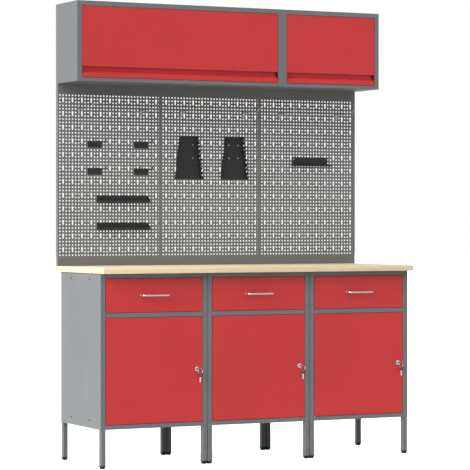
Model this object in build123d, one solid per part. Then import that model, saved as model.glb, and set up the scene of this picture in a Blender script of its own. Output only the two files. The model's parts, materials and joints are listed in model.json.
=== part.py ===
from build123d import *
import math
import os

os.makedirs("parts", exist_ok=True)

# Workbench with drawers: three base cabinets under one worktop, three perforated
# panels above it and two flap-door wall cabinets on top.
# Millimetres. X runs along the bench, Y towards the wall, Z up, origin on the floor
# below the middle of the whole assembly.

# ---------------------------------------------------------------- driving sizes
SIDES = ("left", "middle", "right")
BAY_PITCH = 576.0          # one base cabinet
PANEL_PITCH = 575.0        # one perforated panel, and a third of the wall cabinets
WALL_Y = 312.5             # plane of the wall
TOTAL_HEIGHT = 2300.0

TOP_LENGTH = 1740.0        # worktop
TOP_DEPTH = 600.0
TOP_THICK = 28.0
TOP_UNDER_Z = 948.0
TOP_Z = TOP_UNDER_Z + TOP_THICK
PANEL_DEPTH = 25.0         # folded depth of a perforated panel
TOP_BACK_Y = WALL_Y - PANEL_DEPTH
TOP_FRONT_Y = TOP_BACK_Y - TOP_DEPTH

TUBE = 25.0                # square tube of the cabinet frames
TUBE_WALL = 1.5
SHEET = 1.0                # painted sheet steel
FRONT_Y = TOP_FRONT_Y + 50.0
REAR_Y = FRONT_Y + 505.0
BODY_Z = 190.0             # underside of the cabinet bodies
FRAME_HALF = 286.5         # half width of a frame, outside the legs
BAY_HALF = FRAME_HALF - TUBE
TOP_RAIL = 23.0
MID_RAIL = 22.0
LOW_RAIL = 20.0
MID_RAIL_Z = 734.0
FRONT_RAIL_DEPTH = 20.0
SIDE_RAIL = 45.0
SIDE_RAIL_DEPTH = 15.0
FOOT_H = 15.0
SHELF_Z = 440.0
FLOOR_Z = BODY_Z + LOW_RAIL + SHEET

GAP = 2.0                  # round each drawer front, door and flap
FACE_HALF = BAY_HALF - GAP
DRAWER_Z = (MID_RAIL_Z + MID_RAIL + GAP, TOP_UNDER_Z - TOP_RAIL - GAP)
DRAWER_MID_Z = sum(DRAWER_Z) / 2
DOOR_Z = (FLOOR_Z + GAP, MID_RAIL_Z - GAP)
FACE_DEPTH = 16.0          # folded depth of drawer fronts and doors

DRAWER_HALF = 248.5
DRAWER_DEEP = 440.0
DRAWER_H = 112.0
DRAWER_BASE_Z = 768.0
CHANNEL_W = 10.0
CHANNEL_H = 45.0
CHANNEL_Z = 790.0
CHANNEL_WALL = 1.2
RUNNER_GAP = 0.4

HANDLE_PITCH = 142.0
HANDLE_D = 10.0
HANDLE_REACH = 32.0

HINGE_INSET = 4.5          # door and flap pivots, from the edge and from the face
PIN_R = 2.0
PIN_HOLE_R = 2.06

LOCK_X = 231.0             # from the middle of the cabinet
LOCK_Z = 472.0
LOCK_BODY_R = 9.5
LOCK_FLANGE_R = 12.0
PLUG_R = 7.0
PLUG_BORE_R = 7.05
KEY_HOLE_Y = FRONT_Y - 23.0
RING_R = 12.0
RING_WIRE_R = 0.8
RING_DX = 7.07
RING_DZ = 8.43

PITCH = 17.25              # square grid of the perforated panels
COLUMNS = 33
ROWS = 48
HOLE_R = 4.3
KEY_HEAD_R = 6.2
KEY_SLOT_R = 3.6
PANEL_HALF = PANEL_PITCH / 2 - 0.25
PANEL_SHEET = 1.2
GRID_TOP_Z = 1841.5

WALL_CAB_DEPTH = 280.0
WALL_CAB_Z = 1900.0
WALL_CAB_FRONT = WALL_Y - WALL_CAB_DEPTH
STILE = 24.0
FLAP_TOP_RAIL = 24.0
FLAP_LOW_RAIL = 18.0
FRAME_LIP = 15.0
FLAP_DEPTH = 24.0
GROOVE_TOP = 55.0          # finger groove of a flap, above its lower edge
GROOVE_MID = 36.0
GROOVE_LOW = 17.0
GROOVE_DEPTH = 20.0
GROOVE_END = 2.0
FIXING_INSET = 75.0        # wall fixing holes, from the ends of a wall cabinet
FIXING_Z = (1960.0, 2240.0)
FIXING_R = 4.5

SCREW_DX = (-180.0, 180.0) # screws and bolts, from the middle of each cabinet or panel
WOOD_SCREW_R = 2.4
WOOD_SCREW_GRIP = 18.0     # length inside the worktop
SCREW_HEAD_R = 4.5
SIDE_SCREW_Y = (-124.5, 110.5)
SIDE_SCREW_Z = (227.5, 920.0)
PANEL_SCREW_Z = TOP_UNDER_Z + TOP_THICK / 2
BOLT_Y = WALL_Y - 11.0
BOLT_R = 3.0
NUT_R = 5.8                # across the corners

HOOK_PLACES = (("left", 6), ("left", 26), ("middle", 6), ("middle", 27), ("right", 6),
               ("right", 26))
HOOK_ROW = 4
HOOK_REACH = 195.0
HOOK_RISE = 24.0
HOOK_WIRE_R = 2.2
CLIP_COLUMNS = (11, 26)
CLIP_ROWS = (14, 22)
CLIP_REACH = 72.0
CLIP_PRONG_R = 2.6
RAIL_X = (-648.0, -362.0)  # tool rails
RAIL_Z = (1299.0, 1160.0)
RAIL_DEPTH = 30.0
RAIL_LIP = 12.0
RAIL_BACK = 36.0
RAIL_TAB_X = (RAIL_X[0] + 30, RAIL_X[1] - 30)
RAIL_TAB_Z = 22.0          # above the rail's floor
RACK_X = (-134.5, 130.0)   # spanner racks
RACK_Z = (1421.5, 1645.0)
RACK_HALF = (76.0, 49.0)   # half width at the foot and at the head
RACK_REACH = 30.0
RACK_STEPS = 9
RACK_STEP = 23.0
RACK_NOTCH = 22.0          # depth of each notch
RACK_FIRST = 12.0          # lowest notch above the rack's lower edge
RACK_HOLES = ((-27, 179), (27, 179), (-27, 111), (27, 111), (0, 12))
RACK_HOLE_R = 2.5
RACK_TABS = ((-25, 205), (25, 205), (-45, 40), (45, 40))
HOLDER_X = (482.0, 693.0)  # screwdriver holder
HOLDER_Z = (1503.0, 1544.0)
HOLDER_DEPTH = 28.0
HOLDER_LIP = 8.0
HOLDER_OVERHANG = 13.0
HOLDER_HOLES = 8
HOLDER_STEP = 25.0
HOLDER_TAB_X = (HOLDER_X[0] + 40, HOLDER_X[1] - 40)
HOLDER_TAB_Z = HOLDER_Z[1] - 19

BAY_X = {"left": -BAY_PITCH, "middle": 0.0, "right": BAY_PITCH}
PANEL_X = {"left": -PANEL_PITCH, "middle": 0.0, "right": PANEL_PITCH}
WALL_CAB_SPAN = {"wide": (-1.5 * PANEL_PITCH, 0.5 * PANEL_PITCH),
                 "narrow": (0.5 * PANEL_PITCH, 1.5 * PANEL_PITCH)}
FACE_OF_PANEL = TOP_BACK_Y


# ---------------------------------------------------------------- helpers
def block(x0, x1, y0, y1, z0, z1):
    """Box between two corners."""
    middle = ((x0 + x1) / 2, (y0 + y1) / 2, (z0 + z1) / 2)
    return Pos(*middle) * Box(abs(x1 - x0), abs(y1 - y0), abs(z1 - z0))


def rod_x(x0, x1, y, z, r):
    """Round bar along X."""
    return Pos((x0 + x1) / 2, y, z) * Rot(0, 90, 0) * Cylinder(r, abs(x1 - x0))


def rod_y(x, y0, y1, z, r):
    """Round bar along Y."""
    return Pos(x, (y0 + y1) / 2, z) * Rot(90, 0, 0) * Cylinder(r, abs(y1 - y0))


def rod_z(x, y, z0, z1, r):
    """Round bar along Z."""
    return Pos(x, y, (z0 + z1) / 2) * Cylinder(r, abs(z1 - z0))


def prism_x(x0, x1, outline):
    """Extrude a (y, z) outline from x0 to x1."""
    face = make_face(Polyline(*[(x0, y, z) for y, z in outline], close=True))
    return extrude(face, amount=x1 - x0, dir=(1, 0, 0))


def prism_y(y0, y1, outline):
    """Extrude an (x, z) outline from y0 to y1."""
    face = make_face(Polyline(*[(x, y0, z) for x, z in outline], close=True))
    return extrude(face, amount=y1 - y0, dir=(0, 1, 0))


def pan(x0, x1, y0, y1, z0, z1, wall):
    """Sheet folded back on four edges, open towards +Y."""
    return block(x0, x1, y0, y1, z0, z1) - block(
        x0 + wall, x1 - wall, y0 + wall, y1 + wall, z0 + wall, z1 - wall)


def write(name, *pieces):
    """Write one node: a single solid, or a group of separate ones."""
    solids = [solid for piece in pieces for solid in piece.solids()]
    shape = solids[0] if len(solids) == 1 else Compound(children=solids)
    export_step(shape, f"parts/{name}.step")


# ---------------------------------------------------------------- base cabinets
def worktop():
    """Laminated board with softened edges."""
    top = block(-TOP_LENGTH / 2, TOP_LENGTH / 2, TOP_FRONT_Y, TOP_BACK_Y, TOP_UNDER_Z, TOP_Z)
    corners = top.edges().filter_by(Axis.Z).group_by(Axis.Y)[0]
    top = fillet(corners, 4)
    rims = top.faces().sort_by(Axis.Z)[-1].edges()
    return fillet(rims, 1.5)


def leg(x, y):
    """Square tube leg with rounded corners."""
    outer = RectangleRounded(TUBE, TUBE, 2.5)
    inner = RectangleRounded(TUBE - 2 * TUBE_WALL, TUBE - 2 * TUBE_WALL, 1.0)
    return Pos(x, y, FOOT_H) * extrude(outer - inner, amount=TOP_UNDER_Z - FOOT_H)


def leg_places(cx):
    """Centres of the four legs of the cabinet at cx."""
    inset = TUBE / 2
    return [(cx + side * (FRAME_HALF - inset), y)
            for side in (-1, 1) for y in (FRONT_Y + inset, REAR_Y - inset)]


def cross_rail(cx, z0, height, front):
    """Folded channel between two legs, its open side facing into the cabinet."""
    x0, x1 = cx - BAY_HALF, cx + BAY_HALF
    wall = TUBE_WALL
    if front:
        y0, y1 = FRONT_Y, FRONT_Y + FRONT_RAIL_DEPTH
        hollow = block(x0, x1, y0 + wall, y1, z0 + wall, z0 + height - wall)
    else:
        y0, y1 = REAR_Y - FRONT_RAIL_DEPTH, REAR_Y
        hollow = block(x0, x1, y0, y1 - wall, z0 + wall, z0 + height - wall)
    rail = block(x0, x1, y0, y1, z0, z0 + height) - hollow
    if z0 > MID_RAIL_Z + MID_RAIL:
        for dx in SCREW_DX:
            rail -= rod_z(cx + dx, (y0 + y1) / 2, z0 + height - 2 * wall, z0 + height, 2.6)
    return rail


def side_rail(cx, side, z0):
    """Folded channel between the front and the rear leg, flush outside."""
    outer_x = cx + side * FRAME_HALF
    inner_x = cx + side * (FRAME_HALF - SIDE_RAIL_DEPTH)
    skin_x = outer_x - side * TUBE_WALL
    y0, y1 = FRONT_Y + TUBE, REAR_Y - TUBE
    rail = block(outer_x, inner_x, y0, y1, z0, z0 + SIDE_RAIL)
    rail -= block(skin_x, inner_x, y0, y1, z0 + TUBE_WALL, z0 + SIDE_RAIL - TUBE_WALL)
    for y in SIDE_SCREW_Y:
        z = SIDE_SCREW_Z[0] if z0 < MID_RAIL_Z else SIDE_SCREW_Z[1]
        rail -= rod_x(cx + side * (FRAME_HALF - 3), cx + side * FRAME_HALF, y, z, 2.15)
    return rail


def cabinet_frame(cx):
    """Legs and rails of one welded frame."""
    pieces = [leg(x, y) for x, y in leg_places(cx)]
    pieces.append(cross_rail(cx, TOP_UNDER_Z - TOP_RAIL, TOP_RAIL, True))
    pieces.append(cross_rail(cx, MID_RAIL_Z, MID_RAIL, True))
    pieces.append(cross_rail(cx, BODY_Z, LOW_RAIL, True))
    pieces.append(cross_rail(cx, TOP_UNDER_Z - TOP_RAIL, TOP_RAIL, False))
    pieces.append(cross_rail(cx, BODY_Z, LOW_RAIL, False))
    for side in (-1, 1):
        pieces.append(side_rail(cx, side, TOP_UNDER_Z - SIDE_RAIL))
        pieces.append(side_rail(cx, side, BODY_Z))
    return pieces


def side_panel(cx, side):
    """Flat side sheet with its four screw holes."""
    x0 = cx + side * FRAME_HALF
    x1 = x0 + side * SHEET
    sheet = block(x0, x1, FRONT_Y, REAR_Y, BODY_Z, TOP_UNDER_Z)
    for y in SIDE_SCREW_Y:
        for z in SIDE_SCREW_Z:
            sheet -= rod_x(x0 - side, x1 + side, y, z, 2.15)
    return sheet


def side_screws(cx, side):
    """Button-head screws of one side sheet."""
    x0 = cx + side * (FRAME_HALF + SHEET)
    screws = []
    for y in SIDE_SCREW_Y:
        for z in SIDE_SCREW_Z:
            head = rod_x(x0, x0 + side * 2.2, y, z, SCREW_HEAD_R)
            head = fillet(head.edges().sort_by(Axis.X)[-1 if side > 0 else 0], 1.6)
            socket = rod_x(x0 + side * 0.9, x0 + side * 2.2, y, z, 1.4)
            shank = rod_x(x0 - side * 9, x0, y, z, 2.0)
            screws.append(head - socket + shank)
    return screws


def cabinet_liner(cx):
    """Back sheet and floor folded from one sheet."""
    back = block(cx - FRAME_HALF, cx + FRAME_HALF, REAR_Y, REAR_Y + SHEET, BODY_Z, TOP_UNDER_Z)
    floor_z = (FLOOR_Z - SHEET, FLOOR_Z)
    floor = block(cx - BAY_HALF + 0.3, cx + BAY_HALF - 0.3, FRONT_Y + 2, REAR_Y + SHEET, *floor_z)
    wide = FRAME_HALF - SIDE_RAIL_DEPTH - 0.3
    floor += block(cx - wide, cx + wide, FRONT_Y + TUBE + 0.5, REAR_Y - TUBE - 0.5, *floor_z)
    return back + floor


def cabinet_shelf(cx):
    """Shelf with its front and rear edges folded down, fixed to the legs."""
    y0, y1 = FRONT_Y + 40, REAR_Y - 0.5
    top = block(cx - BAY_HALF, cx + BAY_HALF, y0, y1, SHELF_Z - SHEET, SHELF_Z)
    for y in (y0, y1 - SHEET):
        top += block(cx - BAY_HALF, cx + BAY_HALF, y, y + SHEET, SHELF_Z - 18, SHELF_Z)
    for x in (cx - BAY_HALF, cx + BAY_HALF - SHEET):
        top += block(x, x + SHEET, y0, y1, SHELF_Z - 18, SHELF_Z)
    return top


def drawer_channel(cx, side):
    """Fixed slide channel, open towards the drawer."""
    outer = cx + side * BAY_HALF
    inner = cx + side * (BAY_HALF - CHANNEL_W)
    y0, y1 = FRONT_Y + FACE_DEPTH + 2, REAR_Y - 2
    channel = block(outer, inner, y0, y1, CHANNEL_Z, CHANNEL_Z + CHANNEL_H)
    skin = outer - side * CHANNEL_WALL
    wall = CHANNEL_WALL
    return channel - block(skin, inner, y0, y1, CHANNEL_Z + wall, CHANNEL_Z + CHANNEL_H - wall)


def foot(x, y):
    """Plastic foot with a chamfered tread and a stem inside the tube."""
    tread = Pos(x, y, FOOT_H / 2) * Box(TUBE + 1, TUBE + 1, FOOT_H)
    tread = chamfer(tread.faces().sort_by(Axis.Z)[0].edges(), 3)
    stem = Pos(x, y, FOOT_H + 7) * Box(TUBE - 2 * TUBE_WALL - 0.4, TUBE - 2 * TUBE_WALL - 0.4, 14)
    return tread + chamfer(stem.edges().filter_by(Axis.Z), 1.5)


def worktop_screws(cx):
    """Wood screws through the top rails into the worktop."""
    screws = []
    for y in (FRONT_Y + FRONT_RAIL_DEPTH / 2, REAR_Y - FRONT_RAIL_DEPTH / 2):
        for dx in SCREW_DX:
            seat = TOP_UNDER_Z - TUBE_WALL
            head = rod_z(cx + dx, y, seat - 3, seat, SCREW_HEAD_R)
            grip = rod_z(cx + dx, y, seat, TOP_UNDER_Z + WOOD_SCREW_GRIP, WOOD_SCREW_R)
            screws.append(head + grip)
    return screws


# ---------------------------------------------------------------- drawers
def drawer_box(cx):
    """Folded tray with a runner of open section on each side."""
    y0 = FRONT_Y + FACE_DEPTH
    y1 = y0 + DRAWER_DEEP
    z0, z1 = DRAWER_BASE_Z, DRAWER_BASE_Z + DRAWER_H
    tray = block(cx - DRAWER_HALF, cx + DRAWER_HALF, y0, y1, z0, z1)
    tray -= block(cx - DRAWER_HALF + SHEET, cx + DRAWER_HALF - SHEET,
                  y0 + SHEET, y1 - SHEET, z0 + SHEET, z1 + SHEET)
    for side in (-1, 1):
        root = cx + side * (DRAWER_HALF - SHEET / 2)
        tip = cx + side * (BAY_HALF - CHANNEL_WALL - RUNNER_GAP)
        low = CHANNEL_Z + CHANNEL_WALL + RUNNER_GAP
        high = CHANNEL_Z + CHANNEL_H - CHANNEL_WALL - RUNNER_GAP
        runner = block(root, tip, y0 + 2, y1, low, high)
        hollow = block(cx + side * DRAWER_HALF, tip - side * 1.5, y0, y1 + 2, low + 1.5, high - 1.5)
        tray += runner - hollow
    for x in (cx - DRAWER_HALF, cx + DRAWER_HALF - 5):
        tray += block(x, x + 5, y0, y1, z1 - SHEET, z1)
    return tray


def drawer_front(cx):
    """Drawer face, folded back on all edges, with the two handle holes."""
    face = pan(cx - FACE_HALF, cx + FACE_HALF, FRONT_Y, FRONT_Y + FACE_DEPTH, *DRAWER_Z, SHEET)
    face = fillet(face.faces().sort_by(Axis.Y)[0].edges(), 0.9)
    for side in (-1, 1):
        face -= rod_y(cx + side * HANDLE_PITCH / 2, FRONT_Y - 1, FRONT_Y + 3, DRAWER_MID_Z, 2.2)
    return face


def drawer_handle(cx):
    """Bow handle bent from round bar, with a blind screw hole in each end."""
    half = HANDLE_PITCH / 2
    bend = 12.0
    tip_y = FRONT_Y - HANDLE_REACH + HANDLE_D / 2
    path = FilletPolyline((cx - half, FRONT_Y, DRAWER_MID_Z), (cx - half, tip_y, DRAWER_MID_Z),
                          (cx + half, tip_y, DRAWER_MID_Z), (cx + half, FRONT_Y, DRAWER_MID_Z),
                          radius=bend)
    start = Plane(origin=(cx - half, FRONT_Y, DRAWER_MID_Z), z_dir=(0, -1, 0))
    handle = sweep(start * Circle(HANDLE_D / 2), path=path)
    for side in (-1, 1):
        handle -= rod_y(cx + side * half, FRONT_Y - 10, FRONT_Y + 1, DRAWER_MID_Z, 2.05)
    return handle


def handle_screws(cx):
    """Two screws from inside the drawer front into the handle."""
    seat = FRONT_Y + SHEET
    return [rod_y(cx + side * HANDLE_PITCH / 2, seat, seat + 2.5, DRAWER_MID_Z, 4.0)
            + rod_y(cx + side * HANDLE_PITCH / 2, seat - 9, seat, DRAWER_MID_Z, 2.0)
            for side in (-1, 1)]


# ---------------------------------------------------------------- doors and locks
def door(cx):
    """Door sheet folded back on all edges, with pivot holes and a lock hole."""
    z0, z1 = DOOR_Z
    leaf = pan(cx - FACE_HALF, cx + FACE_HALF, FRONT_Y, FRONT_Y + FACE_DEPTH, z0, z1, SHEET)
    leaf = fillet(leaf.faces().sort_by(Axis.Y)[0].edges(), 0.9)
    hinge_x, hinge_y = cx - FACE_HALF + HINGE_INSET, FRONT_Y + HINGE_INSET
    for low, high in ((z0, z0 + 10), (z1 - 10, z1)):
        leaf += rod_z(hinge_x, hinge_y, low, high, 3.6)
        leaf -= rod_z(hinge_x, hinge_y, low - 1, high + 1, PIN_HOLE_R)
    return leaf - rod_y(cx + LOCK_X, FRONT_Y - 1, FRONT_Y + 3, LOCK_Z, LOCK_BODY_R + 0.1)


def door_pins(cx):
    """Lower and upper pivot pins of one door, headed so that they stay in the rails."""
    x, y = cx - FACE_HALF + HINGE_INSET, FRONT_Y + HINGE_INSET
    low = rod_z(x, y, FLOOR_Z, DOOR_Z[0] + 9, PIN_R) + rod_z(x, y, FLOOR_Z, FLOOR_Z + 1.4, 3.2)
    high = rod_z(x, y, DOOR_Z[1] - 9, MID_RAIL_Z, PIN_R)
    return low, high + rod_z(x, y, MID_RAIL_Z - 1.4, MID_RAIL_Z, 3.2)


def lock_case(cx):
    """Lock barrel with its bright flange, and the hexagon nut behind the sheet."""
    x = cx + LOCK_X
    flange = rod_y(x, FRONT_Y - 3, FRONT_Y, LOCK_Z, LOCK_FLANGE_R)
    flange = fillet(flange.edges().sort_by(Axis.Y)[0], 1.0)
    case = flange + rod_y(x, FRONT_Y, FRONT_Y + 24, LOCK_Z, LOCK_BODY_R)
    case -= rod_y(x, FRONT_Y - 4, FRONT_Y + 25, LOCK_Z, PLUG_BORE_R)
    nut = Pos(x, FRONT_Y + SHEET, LOCK_Z) * Rot(-90, 0, 0) * extrude(
        RegularPolygon(13.5, 6), amount=4)
    return case, nut - rod_y(x, FRONT_Y, FRONT_Y + 8, LOCK_Z, LOCK_BODY_R + 0.05)


def lock_plug(cx):
    """Turning plug with a slot for the key."""
    x = cx + LOCK_X
    plug = rod_y(x, FRONT_Y - 2.4, FRONT_Y + 26, LOCK_Z, PLUG_R)
    return plug - block(x - 4.4, x + 4.4, FRONT_Y - 4, FRONT_Y + 19, LOCK_Z - 1.2, LOCK_Z + 1.2)


def lock_cam(cx):
    """Locking tongue on the plug's rear end, upright while unlocked, and its screw."""
    x, y = cx + LOCK_X, FRONT_Y + 26
    tongue = block(x - 8, x + 8, y, y + 2.5, LOCK_Z, LOCK_Z + 46)
    tongue += rod_y(x, y, y + 2.5, LOCK_Z, 8)
    tongue = fillet(tongue.edges().filter_by(Axis.Y).sort_by(Axis.Z)[-2:], 5)
    head = rod_y(x, y + 2.5, y + 5, LOCK_Z, 4.5)
    return tongue, head


def key(x, y, z, across, along):
    """Flat key lying in the plane of two directions: black bow and steel blade."""
    plane = Plane(origin=(x, y, z), x_dir=across, z_dir=Vector(*across).cross(Vector(*along)))
    bow = Pos(0, 2.5) * RectangleRounded(18, 21, 7) - Pos(0, -2) * Circle(5)
    bow = plane * extrude(bow, amount=1.2, both=True)
    blade = plane * extrude(Pos(0, 13 + 13.5) * Rectangle(7.4, 27), amount=0.9, both=True)
    return bow, blade


def lock_key(cx):
    """Key standing in the lock with its bow lying flat."""
    bow, blade = key(cx + LOCK_X, KEY_HOLE_Y + 2, LOCK_Z, (1, 0, 0), (0, 1, 0))
    return bow + blade


def spare_key(cx):
    """Ring through the bow of the standing key, with the spare key hanging from it."""
    x, z = cx + LOCK_X + RING_DX, LOCK_Z - RING_DZ
    ring = Pos(x, KEY_HOLE_Y, z) * Rot(90, 0, 0) * Torus(RING_R, RING_WIRE_R)
    hang_z = z - RING_R - 3.4
    turn = math.radians(45)
    across = (math.cos(turn), -math.sin(turn), 0)
    bow, blade = key(x, KEY_HOLE_Y, hang_z - 2, across, (0, 0, -1))
    return ring, bow + blade


# ---------------------------------------------------------------- perforated panels
def keyhole_wire(x, y, z):
    """Keyhole outline: round head at z and a slot down to the next row."""
    drop = math.sqrt(KEY_HEAD_R ** 2 - KEY_SLOT_R ** 2)
    low = z - PITCH
    head = ThreePointArc((x - KEY_SLOT_R, y, z - drop), (x, y, z + KEY_HEAD_R),
                         (x + KEY_SLOT_R, y, z - drop))
    right = Line((x + KEY_SLOT_R, y, z - drop), (x + KEY_SLOT_R, y, low))
    foot_arc = ThreePointArc((x + KEY_SLOT_R, y, low), (x, y, low - KEY_SLOT_R),
                             (x - KEY_SLOT_R, y, low))
    left = Line((x - KEY_SLOT_R, y, low), (x - KEY_SLOT_R, y, z - drop))
    return Wire([head.edge(), right.edge(), foot_arc.edge(), left.edge()])


def grid_place(x, z):
    """Panel centre, column and row of the grid place nearest to (x, z)."""
    centre = min(PANEL_X.values(), key=lambda middle: abs(middle - x))
    column = round((x - centre) / PITCH + (COLUMNS - 1) / 2)
    return centre, column, round((GRID_TOP_Z - z) / PITCH)


def grid_point(centre, column, row):
    """X and Z of a place of the grid."""
    return centre + (column - (COLUMNS - 1) / 2) * PITCH, GRID_TOP_Z - row * PITCH


def tab_points():
    """Where the tabs of every fitting are wanted, before they move to the nearest hole."""
    points = [(hook_x(side, column), GRID_TOP_Z - HOOK_ROW * PITCH) for side, column in HOOK_PLACES]
    for column in CLIP_COLUMNS:
        for row in CLIP_ROWS:
            z = GRID_TOP_Z - row * PITCH
            points += [(hook_x("left", column) + shift * PITCH, z) for shift in (-2, 2)]
    points += [(x, z0 + RAIL_TAB_Z) for z0 in RAIL_Z for x in RAIL_TAB_X]
    points += [(x + dx, RACK_Z[0] + dz) for x in RACK_X for dx, dz in RACK_TABS]
    return points + [(x, HOLDER_TAB_Z) for x in HOLDER_TAB_X]


def grid_wires(cx, y):
    """Outlines of one panel's keyholes and of the round holes that fittings hang in."""
    keyed = {(column, row) for column in range(1, COLUMNS, 3) for row in range(1, ROWS, 4)}
    wires = []
    for column, row in sorted(keyed):
        x, z = grid_point(cx, column, row)
        wires.append(keyhole_wire(x, y, z))
    used = {grid_place(x, z) for x, z in tab_points()}
    for centre, column, row in sorted(used):
        if centre != cx or (column, row) in keyed or (column, row - 1) in keyed:
            continue
        x, z = grid_point(cx, column, row)
        wires.append(Wire.make_circle(HOLE_R, Plane(origin=(x, y, z), z_dir=(0, -1, 0))))
    return wires


def perforated_panel(cx):
    """Perforated sheet with four rims welded behind its edges."""
    y = FACE_OF_PANEL
    corners = [(cx - PANEL_HALF, y, TOP_UNDER_Z), (cx + PANEL_HALF, y, TOP_UNDER_Z),
               (cx + PANEL_HALF, y, WALL_CAB_Z), (cx - PANEL_HALF, y, WALL_CAB_Z)]
    holes = grid_wires(cx, y)
    for dx in SCREW_DX:
        plane = Plane(origin=(cx + dx, y, PANEL_SCREW_Z), z_dir=(0, -1, 0))
        holes.append(Wire.make_circle(2.6, plane))
    face = Face(Wire.make_polygon(corners, close=True), holes)
    sheet = extrude(face, amount=PANEL_SHEET, dir=(0, 1, 0))
    x0, x1 = cx - PANEL_HALF, cx + PANEL_HALF
    front = y + PANEL_SHEET
    low, high = TOP_UNDER_Z + PANEL_SHEET, WALL_CAB_Z - PANEL_SHEET
    foot_rim = block(x0, x1, front, WALL_Y, TOP_UNDER_Z, low)
    head_rim = block(x0, x1, front, WALL_Y, high, WALL_CAB_Z)
    for dx in SCREW_DX:
        head_rim -= rod_z(cx + dx, BOLT_Y, WALL_CAB_Z - 3, WALL_CAB_Z + 1, BOLT_R + 0.3)
    left_rim = block(x0, x0 + PANEL_SHEET, front, WALL_Y, low, high)
    right_rim = block(x1 - PANEL_SHEET, x1, front, WALL_Y, low, high)
    return sheet, foot_rim, head_rim, left_rim, right_rim


def panel_screws(cx):
    """Wood screws from behind the panel into the back edge of the worktop."""
    y = FACE_OF_PANEL + PANEL_SHEET
    tip = FACE_OF_PANEL - WOOD_SCREW_GRIP
    return [rod_y(cx + dx, y, y + 3, PANEL_SCREW_Z, SCREW_HEAD_R)
            + rod_y(cx + dx, tip, y, PANEL_SCREW_Z, WOOD_SCREW_R) for dx in SCREW_DX]


def cabinet_bolts(cx):
    """Bolts up through the panel's top fold into the wall cabinet."""
    seat = WALL_CAB_Z - PANEL_SHEET
    bolts = []
    for dx in SCREW_DX:
        head = Pos(cx + dx, BOLT_Y, seat - 4) * extrude(RegularPolygon(NUT_R, 6), amount=4)
        bolts.append(head + rod_z(cx + dx, BOLT_Y, seat, WALL_CAB_Z + 9, BOLT_R))
    return bolts


def cabinet_nuts(cx):
    """Nuts of those bolts, inside the wall cabinet."""
    nuts = []
    for dx in SCREW_DX:
        place = Pos(cx + dx, BOLT_Y, WALL_CAB_Z + SHEET)
        nut = place * extrude(RegularPolygon(NUT_R, 6), amount=5)
        nuts.append(nut - rod_z(cx + dx, BOLT_Y, WALL_CAB_Z, WALL_CAB_Z + 10, BOLT_R + 0.03))
    return nuts


# ---------------------------------------------------------------- things on the panels
def hang_tab(x, z):
    """Tab on the back of a fitting, through the hole of the grid nearest to (x, z)."""
    hole_x, hole_z = grid_point(*grid_place(x, z))
    y = FACE_OF_PANEL
    return block(hole_x - 2.5, hole_x + 2.5, y - 1, y + 5, hole_z - 2, hole_z + 2)


def wire_hook(x):
    """Bent wire hook with a raised tip, hung in the grid's fifth row of holes."""
    z = GRID_TOP_Z - HOOK_ROW * PITCH
    y = FACE_OF_PANEL
    plate = block(x - 6, x + 6, y - 2, y, z - 26, z + 5)
    plate = fillet(plate.edges().filter_by(Axis.Y), 3)
    path = FilletPolyline((x, y - 2, z), (x, y - HOOK_REACH + 30, z),
                          (x, y - HOOK_REACH, z + HOOK_RISE), radius=10)
    start = Plane(origin=(x, y - 2, z), z_dir=(0, -1, 0))
    wire = sweep(start * Circle(HOOK_WIRE_R), path=path)
    return plate + wire + hang_tab(x, z)


def hook_x(side, column):
    """X of a column of holes."""
    return PANEL_X[side] + (column - (COLUMNS - 1) / 2) * PITCH


def tool_clip(x, z):
    """Plate with two forward prongs whose tips turn up, on two tabs four holes apart."""
    y = FACE_OF_PANEL
    plate = block(x - 38, x + 38, y - 2, y, z - 21, z + 13)
    plate = fillet(plate.edges().filter_by(Axis.Y), 3)
    for side in (-1, 1):
        px = x + side * 2 * PITCH
        path = FilletPolyline((px, y - 2, z + 6), (px, y - CLIP_REACH + 10, z + 6),
                              (px, y - CLIP_REACH, z + 18), radius=6)
        start = Plane(origin=(px, y - 2, z + 6), z_dir=(0, -1, 0))
        plate += sweep(start * Circle(CLIP_PRONG_R), path=path)
        plate += hang_tab(px, z)
    return plate


def tool_rail(z0):
    """Folded tray with a raised front lip and slotted floor for small tools."""
    x0, x1 = RAIL_X
    y = FACE_OF_PANEL
    depth, lip, back = RAIL_DEPTH, RAIL_LIP, RAIL_BACK
    outline = [(y, z0), (y - depth, z0), (y - depth, z0 + lip), (y - depth + 1.5, z0 + lip),
               (y - depth + 1.5, z0 + 1.5), (y - 1.5, z0 + 1.5), (y - 1.5, z0 + back), (y, z0 + back)]
    rail = prism_x(x0, x1, outline)
    for x in (x0, x1 - 1.5):
        rail += prism_x(x, x + 1.5, [(y, z0), (y - depth, z0), (y - depth, z0 + lip), (y, z0 + 30)])
    for x in RAIL_TAB_X:
        rail += hang_tab(x, z0 + RAIL_TAB_Z)
    return rail


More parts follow.
